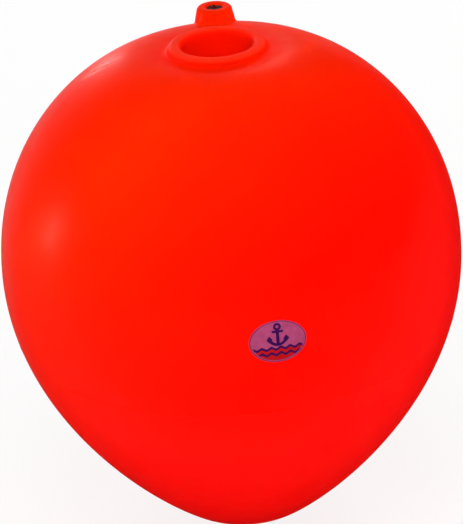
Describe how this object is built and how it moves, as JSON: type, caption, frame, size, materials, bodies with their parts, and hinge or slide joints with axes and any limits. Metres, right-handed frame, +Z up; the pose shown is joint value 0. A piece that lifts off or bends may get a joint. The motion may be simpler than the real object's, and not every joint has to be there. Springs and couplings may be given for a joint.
{
  "type": "inflatable anchor buoy",
  "caption": "Orange-red teardrop vinyl float with an open centre tube between two thick collars, a screw valve in a boss beside the top collar, and an oval label.",
  "frame": {"origin": "centre of the flat foot ring under the bottom collar, the lowest plane of the buoy", "axes": "+Z up the centre tube; the valve stands behind the tube on the +Y side, and the label is on the front, -Y, a little towards +X"},
  "size_m": [0.46, 0.4598, 0.5146],
  "materials": {
    "vinyl": "satin orange-red moulded vinyl",
    "valve_black": "moulded black nylon",
    "seal_rubber": "soft black rubber",
    "label_film": "printed vinyl film, mauve with a dark blue border"
  },
  "bodies": {
    "float": {"float_skin": "vinyl", "top_collar": "vinyl", "bottom_collar": "vinyl", "centre_tube": "vinyl", "valve_seat": "valve_black", "label": "label_film"},
    "washer": {"valve_washer": "seal_rubber"},
    "plug": {"valve_plug": "valve_black"}
  },
  "joints": [
    {"name": "washer_lift", "type": "slide", "parent": "float", "child": "washer", "axis": [0, 0, 1], "range_m": [0, 0.01]},
    {"name": "plug_turn", "type": "hinge", "parent": "washer", "child": "plug", "pos_m": [0, 0.08998, 0.5], "axis": [0, 0, 1], "range_deg": [0, 1800]}
  ],
  "couplings": [
    {"joint": "plug_turn", "follows": "washer_lift", "rad_per_m": 3141.6}
  ]
}
